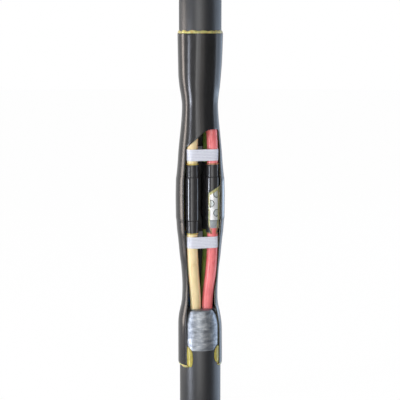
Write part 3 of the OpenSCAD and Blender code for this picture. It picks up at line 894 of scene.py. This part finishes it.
def buildConnectors():
    shape = connectorShape
    seatRadius = shape["boltRadius"] + shape["groove"]
    for core in cores:
        centre = connectorCentre(core)
        bolts = [boltMatrix(core, i) for i in range(shape["bolts"])]
        z0, z1 = middleZ - connectorHalf, middleZ + connectorHalf
        bore = coreShape["conductorRadius"] + shape["boreGap"]
        edge = shape["edge"]
        outline = [
            (bore, z0), (connectorRadius - edge, z0), (connectorRadius, z0 + edge),
            (connectorRadius, z1 - edge), (connectorRadius - edge, z1), (bore, z1),
        ]
        bm = spunOutline(outline, 96, centre)
        for bolt in bolts:
            hole = bmesh.new()
            bmesh.ops.create_cone(
                hole, cap_ends=True, segments=40, radius1=seatRadius,
                radius2=seatRadius + shape["drillWiden"], depth=shape["drillDepth"],
                matrix=bolt @ Matrix.Translation((0, 0, connectorRadius)),
            )
            bm = cutOpen(bm, meshObject("drill", hole))
        softenedEdges(bm, 50, shape["drilledEdge"], 1)
        bm.normal_update()
        # The seats' walls take the dark grease colour: grease, and painted shade in the drilled recess
        for seat in [bolt.inverted() for bolt in bolts]:
            for face in bm.faces:
                place = seat @ face.calc_center_median()
                inSeat = place.z > 0 and place.xy.length < seatRadius + shape["drillWiden"]
                if inSeat and abs((seat.to_3x3() @ face.normal).z) < 0.5:
                    face.material_index = 1
        node = "connector_" + core
        finishMesh(node + "_plated", bm, [platedMaterial, greaseAndPaintedShadeMaterial], node, 40)

        bm = bmesh.new()
        top = connectorRadius - shape["boltSink"]
        foot = coreShape["conductorRadius"]
        outline = [
            (0, foot), (shape["boltRadius"], foot), (shape["boltRadius"], top - shape["chamferHeight"]),
            (shape["boltRadius"] - shape["chamfer"], top), (shape["stumpRadius"], top),
            (shape["stumpRadius"] * 0.75, top + shape["stumpHeight"]), (0, top + shape["stumpHeight"]),
        ]
        for matrix in bolts:
            bolt = spunOutline(outline, 40, closed=False)
            # The bolt's outer ring takes the dark grease colour: painted shade at its rim, and grease on its
            # flank
            for face in bolt.faces:
                away = face.calc_center_median().xy.length
                face.material_index = int(away > shape["boltRadius"] - 0.3 * mm)
            bmesh.ops.transform(bolt, matrix=matrix, verts=bolt.verts)
            mesh = bpy.data.meshes.new("bolt")
            bolt.to_mesh(mesh)
            bolt.free()
            bm.from_mesh(mesh)
            bpy.data.meshes.remove(mesh)
        node = "shear_bolts_" + core
        finishMesh(node + "_torn", bm, [tornMaterial, greaseAndPaintedShadeMaterial], node, 35)
    print("connectors and bolts made")


buildConnectors()

# Binding tape: woven glass-fibre tape, off-white, its turns show as level lines. Its threads, too fine to
# show, are drawn 1.5 mm long. A wave of scale 0.314 repeats once in its size.
tapeMaterial = makeMaterial(
    "wovenGlassTapeWhite", {"IOR": 1.5, "Roughness": 0.55},
    {
        "turns": (
            1.5, 1.5, 1.5,
            {"wave_type": "BANDS", "bands_direction": "Z", "Scale": 0.314, "Distortion": 1.6},
        ),
        "fibres": (1.5, 1.5, 0.3, {}),
    },
    {"turns": {0.05: "#bfc1ca", 0.6: "#dcdde3"}, "fibres": {0.3: "#e2e3e8", 0.7: "#ffffff"}},
    None, {"turns": 0.08, "fibres": 0.05},
)

tape = {
    "levels": 14,
    "ridges": (0, 0.06, 0.09, 0.05),
    "ridgeMost": 0.09 * mm,
    "leastThickness": 0.3 * mm,
    "mostThickness": 0.5 * mm,
    "gap": 0.02 * mm,
    "cornerSteps": 12,
}


def buildTapes():
    # Four corner arcs round the cores, joined by straight runs; the turns overlap as low ridges
    inner = coreShape["radius"] + tape["gap"]
    levels, steps = tape["levels"], tape["cornerSteps"]
    for half in halves:
        node = half + "_binding_tape"
        z0, z1 = farAndNear(node, -1)
        yellowAhead = bundleRadius * math.cos(math.radians(cores["yellow"]))
        thickness = boxRadius(node) - yellowAhead - coreShape["radius"]
        thickness = max(min(thickness, tape["mostThickness"]), tape["leastThickness"])
        section = []
        for k in range(levels + 1):
            ridge = tape["ridges"][k % 4] * mm if 0 < k < levels else 0
            radius = coreShape["radius"] + thickness - tape["ridgeMost"] + ridge
            section.append((radius, z0 + (z1 - z0) * k / levels))
        section += [(inner, z1), (inner, z0), section[0]]
        bm = bmesh.new()
        verts = []
        for core in cores:
            for k in range(steps + 1):
                turn = math.radians(cores[core] - 45 + 90 * k / steps)
                verts.append(bm.verts.new(connectorCentre(core) + onCircle(1, turn)))
        ring = [bm.edges.new(pair) for pair in zip(verts, verts[1:] + verts[:1])]
        for k, (radius, z) in enumerate(section):
            if k > 0:
                verts, ring = extrudeRing(bm, ring)
            for v in verts:
                level = Vector((v.co.x, v.co.y, 0))
                centre = min((connectorCentre(core) for core in cores), key=lambda c: (level - c).length)
                v.co = centre + (level - centre).normalized() * radius + Vector((0, 0, z))
        bmesh.ops.remove_doubles(bm, verts=bm.verts, dist=1e-6)
        bmesh.ops.recalc_face_normals(bm, faces=bm.faces)
        finishMesh(node + "_wound", bm, [tapeMaterial], node, 50)
    print("tapes made")


buildTapes()

# End wrap: soft sealing tape with a foil back, pressed on by hand: silvery, in soft level creases
wrapMaterial = makeMaterial(
    "foilBackedTapePressed", {"Metallic": 0.9},
    {
        "creases": (8, 8, 3.4, {"Detail": 4, "Roughness": 0.6}),
        "brushed": (5, 5, 1.3, {"Detail": 4, "Roughness": 0.6}),
    },
    {"creases": {0.3: "#6f747b", 0.5: "#8d9298", 0.72: "#b3b8bd"}}, ("brushed", 0.36, 0.52),
    {"creases": 0.35, "brushed": 0.16},
)

wrap = {
    "rows": 64,
    "underJacket": 0.1 * mm,
    "mouthRound": 2.8 * mm,
    "flat": 13 * mm,  # Radius of the flat end between the cores
    "lipWidth": 4 * mm,
    "wave": 0.22 * mm,
    "leastCover": 0.06 * mm,
    "foldDepth": 0.35 * mm,
    "foldWidth": 1.5 * mm,
    "foldTurn": 34.5,  # A slanted fold: angle of its middle, how far below the mouth, half its length
    "foldBelow": 4.5 * mm,
    "foldHalf": 8,
    "frontEnd": 75,  # The mouth and foot are level behind this angle
    "frontFade": 12,
    "footLift": 1.7 * mm,
    "footReach": 10 * mm,
    # The mouth falls beyond these angles, by so much at so many degrees beyond
    "mouthFalls": [(-29, -1, 2.5 * mm, 7.6), (43, 1, 3.5 * mm, 9)],
    "mouthFallMost": 4 * mm,
    "mouthReach": 18 * mm,
    "footLeft": -20,  # Between these angles the front foot is level; beyond, its corners are rounded off
    "footRight": 37,
    "cornerRise": 2.2 * mm,
    "cornerWidth": 9,
}


def footRise(turn):
    # Rise of the foot at an angle from the front, in degrees
    beyond = max(wrap["footLeft"] - turn, turn - wrap["footRight"], 0)
    within = smoothStep((wrap["frontEnd"] - abs(turn)) / wrap["frontFade"])
    corner = min(wrap["cornerRise"] * (beyond / wrap["cornerWidth"]) ** 2, 2 * wrap["cornerRise"])
    return (wrap["footLift"] + corner) * within


def mouthFall(turn):
    fall = 0
    for start, side, depth, degrees in wrap["mouthFalls"]:
        beyond = max((turn - start) * side, 0)
        fall += min(depth * (beyond / degrees) ** 1.4, wrap["mouthFallMost"])
    return fall * smoothStep((wrap["frontEnd"] - abs(turn)) / wrap["frontFade"])


def buildWraps():
    for half, sign in halves.items():
        node = half + "_end_wrap"
        foot, mouth = farAndNear(node, sign)
        lip = wrap["mouthRound"]
        length = abs(mouth - foot) - lip
        # Runs from the foot to the mouth, and over it to the axis
        heights = [foot - sign * length * k / wrap["rows"] for k in range(wrap["rows"] + 1)]
        outline = [(jacketRadius(z) - jacket["wallEnds"] - wrap["underJacket"], z) for z in heights]
        edgeRadius = outline[-1][0] - lip
        outline += quarterRound(edgeRadius, mouth + sign * lip, lip, -sign * lip, (15, 30, 45, 60, 75, 90))
        outline += [(edgeRadius * (1 - k / 5), mouth) for k in range(1, 6)]
        outline[0] = (cableRadius + 0.02 * mm, foot)
        bm = spunOutline(outline, 144, closed=False)
        sheathEnd = farAndNear(half + "_cable_sheath", sign)[1]
        for v in bm.verts:
            radius = math.hypot(v.co.x, v.co.y)
            if radius < wrap["flat"]:
                continue
            turn = turnOf(v.co)
            onSheath = (v.co.z - sheathEnd) * sign > 0
            least = cableRadius + wrap["leastCover"] if onSheath else 0
            if abs(v.co.z - foot) > 0.1 * mm:
                place = Vector((math.cos(turn) * 2.3, math.sin(turn) * 2.3, v.co.z * 120))
                crease = 0.5 + 0.8 * noise.noise(place) + 0.5 * noise.noise(place * 2.3)
                across = radius * (turn - math.radians(wrap["foldTurn"]))
                slant = -sign * (v.co.z - mouth) + wrap["foldBelow"] - across
                fold = wrap["foldDepth"] * math.exp(-((slant / wrap["foldWidth"]) ** 2))
                pastFold = abs(math.degrees(turn) - wrap["foldTurn"]) - wrap["foldHalf"]
                fold *= 1 - smoothStep(pastFold / wrap["foldHalf"])
                radius = max(radius - wrap["wave"] * max(crease, 0) - fold, least)
            if sign < 0:
                near = max(1 - abs(v.co.z - foot) / wrap["footReach"], 0)
                v.co.z += footRise(math.degrees(turn)) * near
                nearMouth = smoothStep(1 - abs(v.co.z - mouth) / wrap["mouthReach"])
                onLip = smoothStep((math.hypot(v.co.x, v.co.y) - wrap["flat"]) / wrap["lipWidth"])
                v.co.z -= mouthFall(math.degrees(turn)) * nearMouth * onLip
            v.co = onCircle(radius, turn, v.co.z)
        finishMesh(node + "_pressed", bm, [wrapMaterial], node, 60)
    print("wraps made")


buildWraps()

adhesive = {
    "sunk": 0.1 * mm,
    "neck": 0.3 * mm,
    "underJacket": 3 * mm,
    "beadRadius": 1.5 * mm,
    "beadHeight": 3.1 * mm,
    # Between these angles the lower bead is gone, and at the right it grows to full size over its fade
    "bareLeft": -34,
    "bareRight": 56,
    "bareFade": 14,
    "patch": 0.85 * mm,
    "patchWidest": 0.42,
    "patchRoundLow": 0.22,
    # Each patch: outer and inner side in degrees, lower and upper end from the jacket's, how round its tip
    "patches": [(-39, -20.5, -1.7 * mm, 19.5 * mm, 0.6), (60.5, 43, 1.6 * mm, 19.5 * mm, 0.15)],
}


def buildAdhesives():
    # Bead pressed out at each jacket end, uneven, and at the lower end gone from the bare front
    beadMaterial = hotMeltMaterial("hotMeltBeadOlive", "#bdb471", "#857c45", (3.5, 3.5, 3.5))
    patchMaterial = hotMeltMaterial("hotMeltPatchYellowGreen", "#b4a953", "#94883c", (6, 6, 6), 0.04)
    base, neck = cableRadius - adhesive["sunk"], cableRadius + adhesive["neck"]
    for half, sign in halves.items():
        edge = farAndNear("outer_jacket", sign)[0]
        under = edge - sign * adhesive["underJacket"]
        outline = [(base, under), (neck, under), (neck, edge)]
        bead, height = adhesive["beadRadius"], sign * adhesive["beadHeight"]
        outline += quarterRound(base, edge, bead, height, (0, 18, 36, 54, 72, 90))
        bm = spunOutline(outline, 180)
        for v in bm.verts:
            turn = math.degrees(turnOf(v.co))
            beyond = max(sign * (v.co.z - edge), 0)
            size = 0.85 + 0.4 * noise.noise(Vector((turn * 0.07, 3.1 * sign, 0)))
            if sign < 0:
                fade = adhesive["bareFade"]
                fromBare = max(turn - adhesive["bareRight"], 0) if turn > 0 else fade
                size *= 0.35 + 0.65 * smoothStep(fromBare / fade)
            out = max(math.hypot(v.co.x, v.co.y) - cableRadius, 0)
            v.co.z = v.co.z - sign * beyond * (1 - min(size, 1))
            v.co -= outwardOf(v.co) * out * 0.25 * (1 - min(size, 1))
        if sign < 0:
            gone = []
            for face in bm.faces:
                turn = math.degrees(turnOf(face.calc_center_median()))
                if adhesive["bareLeft"] < turn < adhesive["bareRight"]:
                    gone.append(face)
            bmesh.ops.delete(bm, geom=gone, context="FACES")
            bmesh.ops.holes_fill(bm, edges=[e for e in bm.edges if e.is_boundary], sides=0)
            buildPatches(bm, edge)
        bmesh.ops.recalc_face_normals(bm, faces=bm.faces)
        materials = [beadMaterial, patchMaterial]
        finishMesh(half + "_adhesive_flowed", bm, materials, half + "_jacket_adhesive", 50)
    print("adhesives made")


def buildPatches(bm, edge):
    # Adhesive left by both edges of the window: a leaf-shaped swelling bent round the cable
    for outer, inner, bottom, top, tip in adhesive["patches"]:
        verts = bmesh.ops.create_grid(bm, x_segments=16, y_segments=40, size=1)["verts"]
        for v in verts:
            u, w = (v.co.x + 1) / 2, (v.co.y + 1) / 2
            widest = adhesive["patchWidest"]
            if w > widest:
                leaf = max(1 - ((w - widest) / (1 - widest)) ** 2.6, 0) ** 0.5
            else:
                leaf = tip + (1 - tip) * math.sqrt(1 - (1 - w / widest) ** 2)
            # Below the jacket's end the outer side draws in too, to a round tip
            fromTip = min(w / adhesive["patchRoundLow"], 1)
            drawn = tip * (1 - math.sqrt(1 - (1 - fromTip) ** 2))
            turn = math.radians(outer + (inner - outer) * (drawn + (leaf - drawn) * u))
            across = math.sqrt(max(1 - (1.9 * u - 0.9) ** 2, 0)) * min(leaf, 4 * fromTip, 1)
            lump = 1 + 0.12 * noise.noise(Vector((w * 4, outer, u)))
            swelling = adhesive["patch"] * across * lump
            radius = cableRadius + adhesive["neck"] * min(4 * fromTip, 1) + swelling
            v.co = onCircle(radius, turn, edge + bottom + (top - bottom) * w)
        faces = [f for f in bm.faces if all(v in verts for v in f.verts)]
        for face in faces:
            face.material_index = 1
        for v in vertsOf(bmesh.ops.extrude_face_region(bm, geom=faces, use_keep_orig=True)):
            v.co = onCircle(cableRadius + 0.03 * mm, turnOf(v.co), v.co.z)


buildAdhesives()

# Pale floor and white studio: the camera sees white, and the floor keeps some of the shadow.
# Glossy rays see a room that is dim in front at the right, lighter at the left and light behind the object.
stage = {"floorWhite": 0.98, "floorRadius": 6, "roomDim": 0.2, "leftLight": 0.6, "backLight": 0.15}


def seenDirectly(owner):
    rays = addNode(owner, "ShaderNodeLightPath").outputs
    straight = {0: rays["Is Camera Ray"], 1: rays["Is Transmission Ray"]}
    return addNode(owner, "ShaderNodeMath", {"operation": "MAXIMUM"}, straight).outputs[0]


def buildStage():
    material = clearNodes(bpy.data.materials.new("paintedStudioFloor"))
    diffuse = addNode(material, "ShaderNodeBsdfDiffuse", {"Color": toLinear("#f4f4f4")}).outputs[0]
    white = addNode(material, "ShaderNodeEmission", {"Color": (1, 1, 1, 1), "Strength": 1}).outputs[0]
    share = addNode(material, "ShaderNodeMath", {"operation": "MULTIPLY"}, {0: seenDirectly(material)})
    share.inputs[1].default_value = stage["floorWhite"]
    mixed = addNode(material, "ShaderNodeMixShader", {}, {0: share.outputs[0], 1: diffuse, 2: white})
    addNode(material, "ShaderNodeOutputMaterial", {}, {"Surface": mixed.outputs[0]})
    bm = bmesh.new()
    bmesh.ops.create_circle(bm, cap_ends=True, radius=stage["floorRadius"], segments=96)
    floor = meshObject("floor", bm, [material])
    floor.visible_glossy = False  # The lamps' reflections run down the cable without a break

    world = clearNodes(bpy.data.worlds.new("studio"))
    bpy.context.scene.world = world
    way = addNode(world, "ShaderNodeTexCoord").outputs["Generated"]
    axes = addNode(world, "ShaderNodeSeparateXYZ", {}, {"Vector": way}).outputs
    left = {"From Min": -0.5, "From Max": 0.6, "To Min": stage["leftLight"], "To Max": 0}
    behind = {"From Min": 0.1, "From Max": 0.8, "To Min": 0, "To Max": stage["backLight"]}
    fromLeft = addNode(world, "ShaderNodeMapRange", left, {"Value": axes["X"]}).outputs[0]
    fromBehind = addNode(world, "ShaderNodeMapRange", behind, {"Value": axes["Y"]}).outputs[0]
    both = addNode(world, "ShaderNodeMath", {"operation": "ADD"}, {0: fromLeft, 1: fromBehind})
    room = addNode(world, "ShaderNodeMath", {"operation": "ADD"}, {0: both.outputs[0]})
    room.inputs[1].default_value = stage["roomDim"]
    fill = addNode(world, "ShaderNodeBackground", {"Color": (1, 1, 1, 1)}, {"Strength": room.outputs[0]})
    white = addNode(world, "ShaderNodeBackground", {"Color": (1, 1, 1, 1), "Strength": 1})
    shown = {0: seenDirectly(world), 1: fill.outputs[0], 2: white.outputs[0]}
    mixed = addNode(world, "ShaderNodeMixShader", {}, shown)
    addNode(world, "ShaderNodeOutputWorld", {}, {"Surface": mixed.outputs[0]})


lamps = {
    # Each lamp: azimuth from the front, distance, width, lower and upper end, brightness beside white and
    # colour. A fill lamp lights the cores and tapes and isn't mirrored.
    "warmStripLeft": (-99, 1.15, 0.26, -0.17, 0.6, 7.4, "#fff0e6"),
    "warmFillLeft": (-99, 1.15, 0.26, 0.6, 1.2, 7.4, "#fff0e6"),
    "coolLowLeft": (-59, 1.15, 0.17, -0.8, -0.04, 13, "#e9efff"),
    "coolWaistLeft": (-59, 1.15, 0.17, -0.04, 0.1, 26, "#e9efff"),
    "coolStripLeft": (-59, 1.15, 0.17, 0.1, 0.37, 9.5, "#e9efff"),
    "coolFillLeft": (-59, 1.15, 0.17, 0.37, 1.2, 9.5, "#e9efff"),
    "frontStrip": (-14, 1.15, 0.1, -0.1, 1.2, 2.4, "#ffffff"),
    "frontSoft": (-7, 1.25, 0.46, -0.8, 1.2, 1.65, "#ffffff"),
    "frontFade": (12, 1.3, 0.5, -0.8, 1.2, 0.6, "#fff6ee"),
    "rightStrip": (91, 1.15, 0.2, -0.8, 1.2, 1.6, "#dceaff"),
    "rightLowPanel": (122, 1.25, 1.4, -0.8, -0.06, 1.4, "#cbe0fa"),
    "rightWaistPanel": (122, 1.25, 1.4, -0.06, 0.1, 3.8, "#cbe0fa"),
    "rightPanel": (122, 1.25, 1.4, 0.1, 0.4, 1.4, "#cbe0fa"),
    "rightHighPanel": (122, 1.25, 1.4, 0.4, 1.2, 1.05, "#cbe0fa"),
}


def buildLamps():
    for name, (azimuth, distance, width, lower, upper, brightness, colour) in lamps.items():
        data = bpy.data.lights.new(name, "AREA")
        data.shape = "RECTANGLE"
        data.size = width
        data.size_y = upper - lower
        data.energy = 4 * brightness * width * data.size_y  # 4 W a square metre looks as bright as white
        data.color = toLinear(colour)[:3]
        lamp = bpy.data.objects.new(name, data)
        bpy.context.collection.objects.link(lamp)
        lamp.visible_camera = False
        lamp.visible_glossy = "Fill" not in name
        lamp.location = onCircle(distance, math.radians(azimuth), (lower + upper) / 2)
        lamp.rotation_euler = (math.radians(90), 0, math.radians(azimuth))


buildStage()
buildLamps()
bpy.context.scene.view_settings.view_transform = "Standard"
print("stage and lamps made")
